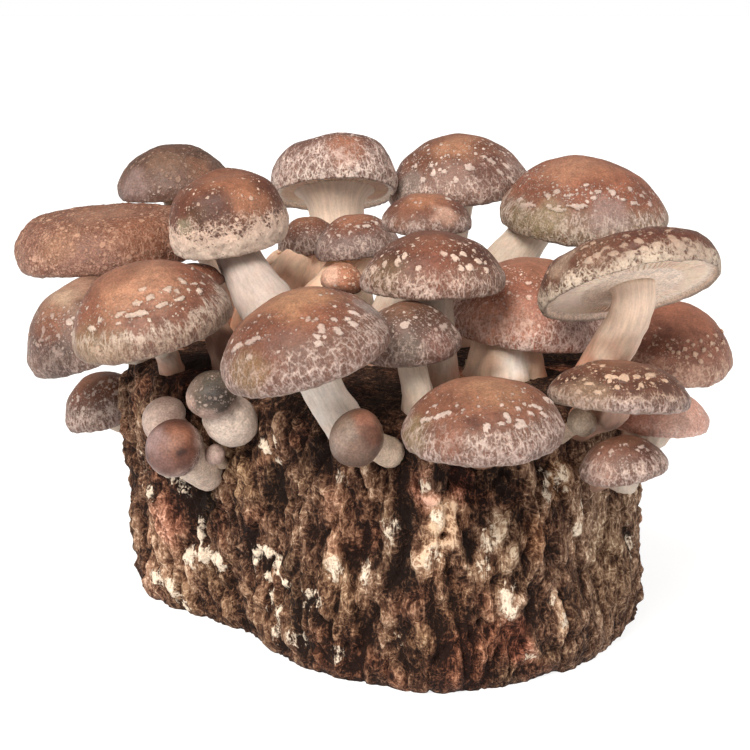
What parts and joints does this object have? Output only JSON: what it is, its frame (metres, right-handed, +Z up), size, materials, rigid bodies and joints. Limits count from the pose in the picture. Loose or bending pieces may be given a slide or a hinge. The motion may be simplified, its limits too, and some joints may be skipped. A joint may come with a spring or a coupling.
{
  "type": "shiitake log",
  "caption": "Short upright log with rough bark and a crowded flush of shiitake, caps on curved stems, growing from its top and upper sides; it stands on its flat cut base.",
  "frame": {"origin": "middle of the log's flat cut base, on the surface that it stands on", "axes": "+Z up, -Y towards the viewer, +X to the viewer's right"},
  "size_m": [0.2343, 0.2321, 0.1515],
  "materials": {
    "bark": "rough dark brown bark with tan ridges and whitish mycelium patches",
    "cap": "soft matte brown skin with pale scales and cracks towards the edge, pale gills below",
    "stem": "matte cream to pinkish tan, finely fibrous",
    "button": "matte skin, from cream to grey and brown"
  },
  "bodies": {
    "root": {"button_brown": "button", "button_foot": "button", "button_grey": "button", "button_hidden": "button", "button_knob": "button", "button_low": "button", "button_pale": "button", "button_pin": "button", "cap_back_far_left": "cap", "cap_back_left": "cap", "cap_back_middle": "cap", "cap_back_right": "cap", "cap_bottom_left": "cap", "cap_bottom_right": "cap", "cap_far_left": "cap", "cap_far_right": "cap", "cap_front_far_left": "cap", "cap_front_left": "cap", "cap_front_right": "cap", "cap_low_left": "cap", "cap_low_right": "cap", "cap_middle": "cap", "cap_middle_left": "cap", "cap_middle_right": "cap", "cap_middle_top": "cap", "cap_peeking_left": "cap", "cap_small_left": "cap", "cap_under_middle": "cap", "cap_under_right": "cap", "cap_upper_left": "cap", "cap_upper_right": "cap", "log": "bark", "stem_back_far_left": "stem", "stem_back_left": "stem", "stem_back_middle": "stem", "stem_back_right": "stem", "stem_bottom_left": "stem", "stem_bottom_right": "stem", "stem_far_left": "stem", "stem_far_right": "stem", "stem_front_far_left": "stem", "stem_front_left": "stem", "stem_front_right": "stem", "stem_low_left": "stem", "stem_low_right": "stem", "stem_middle": "stem", "stem_middle_left": "stem", "stem_middle_right": "stem", "stem_middle_top": "stem", "stem_peeking_left": "stem", "stem_small_left": "stem", "stem_under_middle": "stem", "stem_under_right": "stem", "stem_upper_left": "stem", "stem_upper_right": "stem"}
  },
  "joints": []
}
